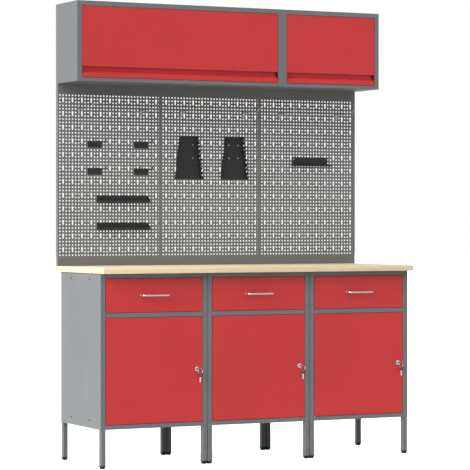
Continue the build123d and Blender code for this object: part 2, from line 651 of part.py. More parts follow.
def spanner_rack(x):
    """Tapered back plate with two notched cheeks welded to its front."""
    y = FACE_OF_PANEL
    z0, z1 = RACK_Z
    low_half, top_half = RACK_HALF
    reach = RACK_REACH
    slope = (low_half - top_half) / (z1 - z0)
    plate = prism_y(y - 2, y, [(x - low_half, z0), (x + low_half, z0),
                               (x + top_half, z1), (x - top_half, z1)])
    cheeks = []
    for side in (-1, 1):
        cheek = prism_y(y - reach, y - 2, [
            (x + side * low_half, z0), (x + side * (low_half - 2), z0),
            (x + side * (top_half - 2), z1), (x + side * top_half, z1)])
        for step in range(RACK_STEPS):
            z = z0 + RACK_FIRST + step * RACK_STEP
            near = x + side * (low_half - slope * (z - z0))
            root_y = y - reach + RACK_NOTCH
            notch = prism_x(near - 8, near + 8, [(y - reach - 1, z + 5), (root_y, z),
                                                 (root_y, z + 8), (y - reach - 1, z + 18)])
            cheek -= notch
        cheeks.append(cheek)
    for dx, dz in RACK_HOLES:
        plate -= rod_y(x + dx, y - 3, y + 1, z0 + dz, RACK_HOLE_R)
    for dx, dz in RACK_TABS:
        plate += hang_tab(x + dx, z0 + dz)
    return plate, *cheeks


def screwdriver_holder():
    """Back plate carrying a shelf with a row of holes for blades."""
    x0, x1 = HOLDER_X
    y = FACE_OF_PANEL
    z, top_z = HOLDER_Z
    front = y - HOLDER_DEPTH
    plate = block(x0, x1, y - 2, y, z, top_z)
    ends = (x0 - HOLDER_OVERHANG, x1 + HOLDER_OVERHANG)
    shelf = block(*ends, front, y, z - 2, z) + block(*ends, front, front + 2, z - HOLDER_LIP, z)
    holder = plate + shelf
    for index in range(HOLDER_HOLES):
        hole_x = x0 + 18 + index * HOLDER_STEP
        holder -= rod_z(hole_x, y - HOLDER_DEPTH / 2 - 1, z - 3, z + 1, 6.5 if index % 2 else 9)
    for x in (x0 + 9, x1 - 9):
        holder -= rod_y(x, y - 3, y + 1, top_z - 10, 3.2)
    for x in HOLDER_TAB_X:
        holder += hang_tab(x, HOLDER_TAB_Z)
    return holder


# ---------------------------------------------------------------- wall cabinets
def wall_cabinet(kind):
    """Back, roof, floor, sides and four angled front rails, welded along their edges."""
    x0, x1 = WALL_CAB_SPAN[kind]
    x0, x1 = x0 + 0.2, x1 - 0.2
    y0, y1 = WALL_CAB_FRONT, WALL_Y
    z0, z1 = WALL_CAB_Z, TOTAL_HEIGHT
    left, right = x0 + SHEET, x1 - SHEET
    low, high = z0 + SHEET, z1 - SHEET
    roof = block(x0, x1, y0, y1, high, z1)
    floor = block(x0, x1, y0, y1, z0, low)
    for side in SIDES:
        for dx in SCREW_DX:
            x = PANEL_X[side] + dx
            if x0 < x < x1:
                floor -= rod_z(x, BOLT_Y, z0 - 1, z0 + 3, BOLT_R + 0.3)
    back = block(left, right, y1 - SHEET, y1, low, high)
    for x in fixing_x(kind):
        for z in FIXING_Z:
            back -= rod_y(x, y1 - 3, y1 + 1, z, FIXING_R)
    sides = (block(x0, left, y0, y1, low, high), block(right, x1, y0, y1, low, high))
    return (roof, floor, back, *sides, *front_rails(kind, left, right, low, high))


def front_rails(kind, left, right, low, high):
    """Angled rails and stiles round the opening of a wall cabinet."""
    x0, x1, z0, z1 = flap_opening(kind)
    y0 = WALL_CAB_FRONT
    face, lip = y0 + SHEET, y0 + FRAME_LIP
    head = block(left, right, y0, face, z1, high)
    head += block(x0 - SHEET, x1 + SHEET, y0, lip, z1, z1 + SHEET)
    sill = block(left, right, y0, face, low, z0)
    sill += block(x0 - SHEET, x1 + SHEET, y0, lip, z0 - SHEET, z0)
    left_stile = block(left, x0, y0, face, z0, z1) + block(x0 - SHEET, x0, y0, lip, z0, z1)
    right_stile = block(x1, right, y0, face, z0, z1) + block(x1, x1 + SHEET, y0, lip, z0, z1)
    return head, sill, left_stile, right_stile


def flap_opening(kind):
    """Opening of a wall cabinet: x0, x1, z0, z1."""
    x0, x1 = WALL_CAB_SPAN[kind]
    return (x0 + STILE, x1 - STILE, WALL_CAB_Z + FLAP_LOW_RAIL, TOTAL_HEIGHT - FLAP_TOP_RAIL)


def fixing_x(kind):
    """X of the wall fixing holes in the back of a cabinet."""
    x0, x1 = WALL_CAB_SPAN[kind]
    return (x0 + FIXING_INSET, x1 - FIXING_INSET)


def flap(kind):
    """Flap door with a full-width finger groove near its lower edge."""
    x0, x1, z0, z1 = flap_opening(kind)
    x0, x1, z0, z1 = x0 + GAP, x1 - GAP, z0 + GAP, z1 - GAP
    y0 = WALL_CAB_FRONT
    y1 = y0 + FLAP_DEPTH
    leaf = block(x0, x1, y0, y1, z0, z1)
    leaf = fillet(leaf.faces().sort_by(Axis.Y)[0].edges(), 0.9)
    groove = [(y0 - 1, z0 + GROOVE_TOP), (y0 + GROOVE_DEPTH, z0 + GROOVE_TOP),
              (y0 + GROOVE_DEPTH, z0 + GROOVE_MID), (y0 - 1, z0 + GROOVE_LOW)]
    leaf -= prism_x(x0 + GROOVE_END, x1 - GROOVE_END, groove)
    skin = y0 + SHEET
    deep = y0 + GROOVE_DEPTH + SHEET
    upper = block(x0 + SHEET, x1 - SHEET, skin, y1 + 1, z0 + GROOVE_TOP + SHEET, z1 - SHEET)
    lower = prism_x(x0 + SHEET, x1 - SHEET, [
        (skin, z0 + SHEET), (y1 + 1, z0 + SHEET), (y1 + 1, z0 + GROOVE_TOP + SHEET),
        (deep, z0 + GROOVE_TOP + SHEET), (deep, z0 + GROOVE_MID - 1), (skin, z0 + GROOVE_LOW - 2)])
    leaf = leaf - upper - lower
    hinge_y, hinge_z = y0 + HINGE_INSET, z1 - HINGE_INSET
    for a, b in ((x0, x0 + 10), (x1 - 10, x1)):
        leaf += rod_x(a, b, hinge_y, hinge_z, 3.6)
        leaf -= rod_x(a - 1, b + 1, hinge_y, hinge_z, PIN_HOLE_R)
    return leaf


def flap_pins(kind):
    """Two pivot pins of one flap, fixed in the stiles."""
    x0, x1, z0, z1 = flap_opening(kind)
    y, z = WALL_CAB_FRONT + HINGE_INSET, z1 - GAP - HINGE_INSET
    left = rod_x(x0, x0 + GAP + 9, y, z, PIN_R) + rod_x(x0, x0 + 1.4, y, z, 3.2)
    right = rod_x(x1 - GAP - 9, x1, y, z, PIN_R) + rod_x(x1 - 1.4, x1, y, z, 3.2)
    return left, right


# ---------------------------------------------------------------- build
def build():
    """Write every node."""
    write("worktop", worktop())
    panels, liners, shelves, channels, feet, bolts, nuts = [], [], [], [], [], [], []
    top_screws, edge_screws, pins = [], [], []
    for side in SIDES:
        cx = BAY_X[side]
        write(f"cabinet_frame_{side}", *cabinet_frame(cx))
        panels += [side_panel(cx, -1), side_panel(cx, 1)]
        liners.append(cabinet_liner(cx))
        shelves.append(cabinet_shelf(cx))
        channels += [drawer_channel(cx, -1), drawer_channel(cx, 1)]
        feet += [foot(x, y) for x, y in leg_places(cx)]
        top_screws += worktop_screws(cx)
        pins += door_pins(cx)
        write(f"drawer_box_{side}", drawer_box(cx))
        write(f"drawer_front_{side}", drawer_front(cx))
        write(f"drawer_handle_{side}", drawer_handle(cx))
        write(f"handle_screws_{side}", *handle_screws(cx))
        write(f"door_{side}", door(cx))
        write(f"lock_case_{side}", *lock_case(cx))
        write(f"lock_plug_{side}", lock_plug(cx))
        write(f"lock_cam_{side}", *lock_cam(cx))
        write(f"lock_key_{side}", lock_key(cx))
        write(f"spare_key_{side}", *spare_key(cx))
        panel_x = PANEL_X[side]
        write(f"perforated_panel_{side}", *perforated_panel(panel_x))
        edge_screws += panel_screws(panel_x)
        bolts += cabinet_bolts(panel_x)
        nuts += cabinet_nuts(panel_x)
    write("side_panels", *panels)
    write("cabinet_liners", *liners)
    write("cabinet_shelves", *shelves)
    write("drawer_channels", *channels)
    write("feet", *feet)
    write("worktop_screws", *top_screws)
    write("door_hinge_pins", *pins)
    write("side_panel_screws", *side_screws(BAY_X["left"], -1), *side_screws(BAY_X["right"], 1))
    write("panel_screws", *edge_screws)
    write("cabinet_bolts", *bolts)
    write("cabinet_nuts", *nuts)
    write("wire_hooks", *[wire_hook(hook_x(side, column)) for side, column in HOOK_PLACES])
    write("tool_clips", *[tool_clip(hook_x("left", column), GRID_TOP_Z - row * PITCH)
                          for column in CLIP_COLUMNS for row in CLIP_ROWS])
    write("tool_rails", *[tool_rail(z) for z in RAIL_Z])
    for name, x in zip(("left", "right"), RACK_X):
        write(f"spanner_rack_{name}", *spanner_rack(x))
    write("screwdriver_holder", screwdriver_holder())
    hinge_pins = []
    for kind in WALL_CAB_SPAN:
        write(f"wall_cabinet_{kind}", *wall_cabinet(kind))
        write(f"flap_{kind}", flap(kind))
        hinge_pins += flap_pins(kind)
    write("flap_hinge_pins", *hinge_pins)


if __name__ == "__main__":
    build()
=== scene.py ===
import json
import logging
import math
from dataclasses import dataclass
from enum import Enum

import bmesh
import bpy
from mathutils import Matrix, Vector


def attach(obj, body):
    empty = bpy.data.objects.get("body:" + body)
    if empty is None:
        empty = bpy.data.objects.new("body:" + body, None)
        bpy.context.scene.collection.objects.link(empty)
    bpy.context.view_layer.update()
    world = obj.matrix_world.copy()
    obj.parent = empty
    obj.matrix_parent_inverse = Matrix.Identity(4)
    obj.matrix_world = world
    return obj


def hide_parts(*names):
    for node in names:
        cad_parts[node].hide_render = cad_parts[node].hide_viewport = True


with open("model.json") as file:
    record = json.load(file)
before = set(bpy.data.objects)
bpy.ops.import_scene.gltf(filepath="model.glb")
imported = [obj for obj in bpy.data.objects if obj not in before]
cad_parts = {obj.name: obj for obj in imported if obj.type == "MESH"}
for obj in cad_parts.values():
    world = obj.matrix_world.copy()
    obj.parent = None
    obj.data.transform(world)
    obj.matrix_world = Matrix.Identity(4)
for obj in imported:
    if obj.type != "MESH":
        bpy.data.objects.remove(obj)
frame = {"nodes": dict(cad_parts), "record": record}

LOG = logging.getLogger("workbench")
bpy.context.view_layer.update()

MM = 0.001
FRONT_Y = -262.5 * MM      # front plane of the base cabinets
WALL_CABINET_Y = 32.5 * MM  # front plane of the wall cabinets
TUBE = 25.0 * MM
BAY_PITCH = 576.0 * MM      # from one base cabinet to the next
PANEL_PITCH = 575.0 * MM    # from one perforated panel to the next

Colour = tuple[float, float, float]
Socket = bpy.types.NodeSocket


class Side(Enum):
    """Base cabinets, by the X of their middle."""

    LEFT = -BAY_PITCH
    MIDDLE = 0.0
    RIGHT = BAY_PITCH

    @property
    def word(self) -> str:
        """Name used in nodes and bodies."""
        return self.name.lower()


class Flap(Enum):
    """Flap doors, by the X of the two ends of their finger groove."""

    WIDE = (-834.5 * MM, 259.5 * MM)
    NARROW = (315.5 * MM, 834.5 * MM)

    @property
    def word(self) -> str:
        """Name used in nodes and bodies."""
        return self.name.lower()


# ------------------------------------------------------------------ node trees
class Graph:
    """A node tree with short ways to add nodes and link them."""

    def __init__(self, tree: bpy.types.NodeTree) -> None:
        """Keeps the tree and empties it.

        Args:
            tree: node tree of a material, world or group.
        """
        self.tree = tree
        tree.nodes.clear()

    def add(self, kind: str, **values: object) -> bpy.types.Node:
        """Adds one node.

        Args:
            kind: Blender's type name of the node.
            values: node attributes, or inputs by their name with spaces as underscores.

        Returns:
            The new node.
        """
        node = self.tree.nodes.new(kind)
        for name, value in values.items():
            if hasattr(node, name):
                setattr(node, name, value)
                continue
            socket = node.inputs[name.replace("_", " ")]
            if isinstance(value, Socket):
                self.tree.links.new(value, socket)
            else:
                socket.default_value = value
        return node

    def math(self, operation: str, *values: object) -> Socket:
        """Adds a Math node.

        Args:
            operation: the node's operation.
            values: numbers or sockets for its inputs, in order.

        Returns:
            Its value socket.
        """
        node = self.add("ShaderNodeMath", operation=operation)
        for socket, value in zip(node.inputs, values):
            if isinstance(value, Socket):
                self.tree.links.new(value, socket)
            else:
                socket.default_value = value
        return node.outputs[0]

    def noise(self, vector: Socket, scale: object, detail: float = 3.0) -> Socket:
        """Adds a Noise Texture and returns its value socket.

        Args:
            vector: coordinates.
            scale: number or socket.
            detail: octaves.

        Returns:
            The noise value, 0 to 1.
        """
        node = self.add("ShaderNodeTexNoise", Vector=vector, Scale=scale, Detail=detail)
        return node.outputs["Fac"]

    def ramp(self, value: Socket, low: float, high: float,
             out_low: float = 0.0, out_high: float = 1.0) -> Socket:
        """Maps a range of a value smoothly onto another.

        Args:
            value: input socket.
            low: input that gives out_low.
            high: input that gives out_high.
            out_low: result at the low end.
            out_high: result at the high end.

        Returns:
            The mapped value.
        """
        node = self.add("ShaderNodeMapRange", interpolation_type="SMOOTHSTEP", Value=value)
        node.inputs["From Min"].default_value = low
        node.inputs["From Max"].default_value = high
        node.inputs["To Min"].default_value = out_low
        node.inputs["To Max"].default_value = out_high
        return node.outputs["Result"]

    def mix(self, factor: object, first: object, second: object, blend: str = "MIX") -> Socket:
        """Mixes two colours.

        Args:
            factor: number or socket.
            first: colour or socket.
            second: colour or socket.
            blend: blend type.

        Returns:
            The mixed colour.
        """
        node = self.add("ShaderNodeMix", data_type="RGBA", blend_type=blend)
        for index, value in ((0, factor), (6, first), (7, second)):
            if isinstance(value, Socket):
                self.tree.links.new(value, node.inputs[index])
            elif index == 0:
                node.inputs[index].default_value = value
            else:
                node.inputs[index].default_value = (*value, 1.0)
        return node.outputs[2]


def shader_group(name: str, inputs: dict[str, tuple[str, object]],
                 outputs: dict[str, str]) -> tuple[Graph, dict, bpy.types.Node]:
    """Starts a shader node group with named sockets.

    Args:
        name: the group's name.
        inputs: socket name to (Vector, Float or Color, default).
        outputs: socket name to Float or Color.

    Returns:
        The graph inside it, its inputs by name, and its output node.
    """
    tree = bpy.data.node_groups.new(name, "ShaderNodeTree")
    for label, (kind, default) in inputs.items():
        socket = tree.interface.new_socket(label, in_out="INPUT", socket_type=f"NodeSocket{kind}")
        if default is not None:
            socket.default_value = default
    for label, kind in outputs.items():
        tree.interface.new_socket(label, in_out="OUTPUT", socket_type=f"NodeSocket{kind}")
    graph = Graph(tree)
    start = graph.add("NodeGroupInput")
    end = graph.add("NodeGroupOutput")
    return graph, {label: start.outputs[label] for label in inputs}, end


class Effects:
    """Surface effects that several materials share, each a node group built once."""

    def __init__(self) -> None:
        """Builds every group."""
        self.powder = self.powder_coat()
        self.dust = self.floor_dust()
        self.streaks = self.drawn_streaks()
        self.staves = self.wood_staves()

    def powder_coat(self) -> bpy.types.NodeTree:
        """Orange-peel skin of a stoved powder coat.

        Returns:
            Group with Height of the skin and Shade, a slow drift of its gloss and tone.
        """
        graph, given, end = shader_group(
            "powder_coat", {"Vector": ("Vector", None), "Grain": ("Float", 900.0)},
            {"Height": "Float", "Shade": "Float"})
        fine = graph.noise(given["Vector"], given["Grain"], 2.0)
        wavy = graph.noise(given["Vector"], graph.math("MULTIPLY", given["Grain"], 0.28), 1.0)
        height = graph.math("ADD", graph.math("MULTIPLY", fine, 0.45), graph.math("MULTIPLY", wavy, 0.55))
        slow = graph.noise(given["Vector"], 2.6, 3.0)
        graph.tree.links.new(height, end.inputs["Height"])
        graph.tree.links.new(graph.ramp(slow, 0.3, 0.7), end.inputs["Shade"])
        return graph.tree

    def floor_dust(self) -> bpy.types.NodeTree:
        """Workshop dust and scuffs, thickest near the floor and on upward faces.

        Returns:
            Group with Mask.
        """
        graph, given, end = shader_group(
            "floor_dust", {"Vector": ("Vector", None), "Amount": ("Float", 0.3)}, {"Mask": "Float"})
        parts = graph.add("ShaderNodeSeparateXYZ", Vector=given["Vector"])
        low = graph.ramp(parts.outputs["Z"], 0.0, 0.32, 1.0, 0.12)
        facing = graph.add("ShaderNodeTexCoord").outputs["Normal"]
        up = graph.add("ShaderNodeSeparateXYZ", Vector=facing).outputs["Z"]
        top = graph.ramp(up, 0.6, 1.0, 0.0, 0.5)
        patches = graph.ramp(graph.noise(given["Vector"], 38.0, 6.0), 0.42, 0.74)
        mask = graph.math("MULTIPLY", graph.math("ADD", low, top), patches)
        graph.tree.links.new(graph.math("MULTIPLY", mask, given["Amount"]), end.inputs["Mask"])
        return graph.tree

    def drawn_streaks(self) -> bpy.types.NodeTree:
        """Fine lines of drawn or rolled metal along X.

        Returns:
            Group with Height and Shade.
        """
        graph, given, end = shader_group(
            "drawn_streaks", {"Vector": ("Vector", None), "Scale": ("Float", 700.0)},
            {"Height": "Float", "Shade": "Float"})
        stretched = graph.add("ShaderNodeMapping", Vector=given["Vector"], Scale=(0.03, 1.0, 1.0))
        lines = graph.noise(stretched.outputs["Vector"], given["Scale"], 2.0)
        spots = graph.noise(given["Vector"], 160.0, 4.0)
        graph.tree.links.new(lines, end.inputs["Height"])
        shade = graph.math("ADD", graph.math("MULTIPLY", lines, 0.5), graph.math("MULTIPLY", spots, 0.5))
        graph.tree.links.new(shade, end.inputs["Shade"])
        return graph.tree

    def wood_staves(self) -> bpy.types.NodeTree:
        """Glued beech staves that run along X, with rays and pores.

        Returns:
            Group with Tone of each stave, Grain, Flecks, Joint lines and Height.
        """
        graph, given, end = shader_group(
            "wood_staves",
            {"Vector": ("Vector", None), "Width": ("Float", 0.046), "Length": ("Float", 0.62)},
            {"Tone": "Float", "Grain": "Float", "Flecks": "Float", "Joint": "Float", "Height": "Float"})
        parts = graph.add("ShaderNodeSeparateXYZ", Vector=given["Vector"])
        across = graph.math("DIVIDE", graph.math("ADD", parts.outputs["Y"], 4.0), given["Width"])
        row = graph.math("FLOOR", across)
        slide = graph.add("ShaderNodeTexWhiteNoise", noise_dimensions="1D", W=row).outputs["Value"]
        along = graph.math("ADD", graph.math("DIVIDE", parts.outputs["X"], given["Length"]), slide)
        block = graph.math("FLOOR", along)
        seed = graph.add("ShaderNodeCombineXYZ", X=row, Y=block)
        tone = graph.add("ShaderNodeTexWhiteNoise", noise_dimensions="3D", Vector=seed.outputs[0])
        shifted = graph.add("ShaderNodeVectorMath", operation="MULTIPLY_ADD")
        graph.tree.links.new(tone.outputs["Color"], shifted.inputs[0])
        shifted.inputs[1].default_value = (3.0, 3.0, 3.0)
        graph.tree.links.new(given["Vector"], shifted.inputs[2])
        fibre = graph.add("ShaderNodeMapping", Vector=shifted.outputs[0], Scale=(1.4, 30.0, 30.0))
        grain = graph.add("ShaderNodeTexNoise", Vector=fibre.outputs[0],
                          Scale=3.2, Detail=6.0, Distortion=1.4)
        ray = graph.add("ShaderNodeMapping", Vector=shifted.outputs[0], Scale=(0.16, 1.0, 1.0))
        flecks = graph.ramp(graph.noise(ray.outputs[0], 900.0, 1.0), 0.62, 0.72)
        edge_y = graph.math("PINGPONG", graph.math("FRACT", across), 0.5)
        edge_x = graph.math("PINGPONG", graph.math("FRACT", along), 0.5)
        seam_y = graph.ramp(edge_y, 0.004, 0.012, 1.0, 0.0)
        seam_x = graph.ramp(edge_x, 0.0003, 0.0009, 1.0, 0.0)
        joint = graph.math("MAXIMUM", seam_y, seam_x)
        height = graph.math("SUBTRACT", graph.math("MULTIPLY", grain.outputs["Fac"], 0.5),
                            graph.math("MULTIPLY", joint, 0.6))
        results = {"Tone": tone.outputs["Value"], "Grain": grain.outputs["Fac"],
                   "Flecks": flecks, "Joint": joint, "Height": height}
        for label, socket in results.items():
            graph.tree.links.new(socket, end.inputs[label])
        return graph.tree


# ------------------------------------------------------------------ finishes
@dataclass(frozen=True)
class Finish:
    """What every finish has: a name, a colour and a gloss."""

    name: str
    colour: Colour
    roughness: float = 0.4

    def start(self) -> tuple[Graph, bpy.types.Node, Socket, bpy.types.Material]:
        """Makes the material with its shader and object coordinates.

        Returns:
            Graph, Principled BSDF, coordinates and material.
        """
        material = bpy.data.materials.new(self.name)
        material.use_nodes = True
        material.diffuse_color = (*self.colour, 1.0)
        graph = Graph(material.node_tree)
        shader = graph.add("ShaderNodeBsdfPrincipled")
        output = graph.add("ShaderNodeOutputMaterial")
        graph.tree.links.new(shader.outputs[0], output.inputs["Surface"])
        where = graph.add("ShaderNodeTexCoord").outputs["Object"]
        return graph, shader, where, material

    def effect(self, graph: Graph, group: bpy.types.NodeTree, where: Socket,
               **values: float) -> bpy.types.Node:
        """Places a shared effect in the material.

        Args:
            graph: the material's graph.
            group: the node group.
            where: coordinates.
            values: the effect's own inputs.

        Returns:
            The group node.
        """
        node = graph.add("ShaderNodeGroup", node_tree=group)
        graph.tree.links.new(where, node.inputs["Vector"])
        for label, value in values.items():
            node.inputs[label].default_value = value
        return node

    def bump(self, graph: Graph, shader: bpy.types.Node, height: Socket, strength: float,
             distance: float) -> None:
        """Feeds a height into the shader's normal.

        Args:
            graph: the material's graph.
            shader: its Principled BSDF.
            height: height socket.
            strength: bump strength.
            distance: bump depth in metres.
        """
        node = graph.add("ShaderNodeBump", Strength=strength, Distance=distance, Height=height)
        graph.tree.links.new(node.outputs["Normal"], shader.inputs["Normal"])


@dataclass(frozen=True)
class PaintFinish(Finish):
    """Stoved powder coat on sheet steel."""

    grain: float = 900.0
    relief: float = 0.18
    dust: float = 0.25

    def material(self, effects: Effects) -> bpy.types.Material:
        """Builds the material.

        Args:
            effects: the shared groups.

        Returns:
            The finished material.
        """
        graph, shader, where, material = self.start()
        skin = self.effect(graph, effects.powder, where, Grain=self.grain)
        dust = self.effect(graph, effects.dust, where, Amount=self.dust)
        darker = tuple(0.93 * part for part in self.colour)
        tone = graph.mix(skin.outputs["Shade"], darker, self.colour)
        dusty = tuple(0.6 * part + 0.4 * grey for part, grey in zip(self.colour, (0.42, 0.39, 0.35)))
        colour = graph.mix(dust.outputs["Mask"], tone, dusty)
        graph.tree.links.new(colour, shader.inputs["Base Color"])
        gloss = graph.ramp(skin.outputs["Shade"], 0.0, 1.0, self.roughness + 0.05, self.roughness - 0.03)
        rough = graph.math("ADD", gloss, graph.math("MULTIPLY", dust.outputs["Mask"], 0.35))
        graph.tree.links.new(rough, shader.inputs["Roughness"])
        self.bump(graph, shader, skin.outputs["Height"], self.relief, 0.00025)
        return material


@dataclass(frozen=True)
class MetalFinish(Finish):
    """Plated or drawn steel."""

    streak: float = 700.0
    relief: float = 0.05
    tarnish: float = 0.15

    def material(self, effects: Effects) -> bpy.types.Material:
        """Builds the material.

        Args:
            effects: the shared groups.

        Returns:
            The finished material.
        """
        graph, shader, where, material = self.start()
        shader.inputs["Metallic"].default_value = 1.0
        lines = self.effect(graph, effects.streaks, where, Scale=self.streak)
        duller = tuple((1.0 - self.tarnish) * part for part in self.colour)
        colour = graph.mix(graph.ramp(lines.outputs["Shade"], 0.35, 0.65), duller, self.colour)
        graph.tree.links.new(colour, shader.inputs["Base Color"])
        rough = graph.ramp(lines.outputs["Shade"], 0.3, 0.7, self.roughness + 0.08, self.roughness)
        graph.tree.links.new(rough, shader.inputs["Roughness"])
        self.bump(graph, shader, lines.outputs["Height"], self.relief, 0.0001)
        return material


@dataclass(frozen=True)
class PlasticFinish(Finish):
    """Moulded plastic with a fine spark-eroded texture."""

    grain: float = 1500.0

    def material(self, effects: Effects) -> bpy.types.Material:
        """Builds the material.

        Args:
            effects: the shared groups.

        Returns:
            The finished material.
        """
        graph, shader, where, material = self.start()
        skin = self.effect(graph, effects.powder, where, Grain=self.grain)
        dust = self.effect(graph, effects.dust, where, Amount=0.06)
        colour = graph.mix(dust.outputs["Mask"], self.colour, (0.22, 0.2, 0.18))
        graph.tree.links.new(colour, shader.inputs["Base Color"])
        rough = graph.ramp(skin.outputs["Height"], 0.3, 0.7, self.roughness - 0.06, self.roughness + 0.08)
        graph.tree.links.new(rough, shader.inputs["Roughness"])
        self.bump(graph, shader, skin.outputs["Height"], 0.25, 0.0002)
        return material


@dataclass(frozen=True)
class BeechFinish(Finish):
    """Oiled beech board, glued from staves."""

    dark: Colour = (0.58, 0.43, 0.25)

    def material(self, effects: Effects) -> bpy.types.Material:
        """Builds the material.

        Args:
            effects: the shared groups.

        Returns:
            The finished material.
        """
        graph, shader, where, material = self.start()
        wood = self.effect(graph, effects.staves, where)
        tone = graph.ramp(wood.outputs["Tone"], 0.0, 1.0, 0.05, 0.30)
        fibre = graph.ramp(wood.outputs["Grain"], 0.35, 0.75, 0.0, 0.42)
        board = graph.mix(graph.math("ADD", tone, fibre), self.colour, self.dark)
        rays = graph.mix(graph.math("MULTIPLY", wood.outputs["Flecks"], 0.35), board, (0.44, 0.29, 0.15))
        joints = graph.mix(graph.math("MULTIPLY", wood.outputs["Joint"], 0.45), rays, (0.32, 0.2, 0.1))
        graph.tree.links.new(joints, shader.inputs["Base Color"])
        rough = graph.ramp(wood.outputs["Grain"], 0.3, 0.8, self.roughness, self.roughness + 0.12)
        graph.tree.links.new(rough, shader.inputs["Roughness"])
        self.bump(graph, shader, wood.outputs["Height"], 0.12, 0.0003)
        return material


class Finishes:
    """Every finish of the bench, by the record's slot names."""

    PLANS = {
        "red_paint": PaintFinish("red_paint", (0.52, 0.024, 0.025), 0.42),
        "grey_paint": PaintFinish("grey_paint", (0.138, 0.145, 0.15), 0.45),
        "light_grey_paint": PaintFinish("light_grey_paint", (0.16, 0.168, 0.172), 0.48),
        "panel_grey_paint": PaintFinish("panel_grey_paint", (0.135, 0.14, 0.137), 0.5, dust=0.1),
        "black_paint": PaintFinish("black_paint", (0.011, 0.011, 0.011), 0.55,
                                   grain=1300.0, relief=0.3, dust=0.03),
        "chrome": MetalFinish("chrome", (0.82, 0.82, 0.83), 0.1, tarnish=0.05),
        "zinc": MetalFinish("zinc", (0.58, 0.59, 0.6), 0.32, relief=0.1),
        "key_steel": MetalFinish("key_steel", (0.66, 0.65, 0.62), 0.22, relief=0.12),
        "black_plastic": PlasticFinish("black_plastic", (0.007, 0.007, 0.007), 0.45),
        "rubber": PlasticFinish("rubber", (0.03, 0.03, 0.031), 0.7, grain=800.0),
        "beech": BeechFinish("beech", (0.76, 0.63, 0.42), 0.42),
    }

    def __init__(self) -> None:
        """Builds the shared groups and every material."""
        effects = Effects()
        self.made = {name: plan.material(effects) for name, plan in self.PLANS.items()}

    def __getitem__(self, name: str) -> bpy.types.Material:
        """Material by name."""
        return self.made[name]


def edges_of(verts: list) -> list:
    """Every edge at the given vertices, once."""
    return list({edge for vert in verts for edge in vert.link_edges})


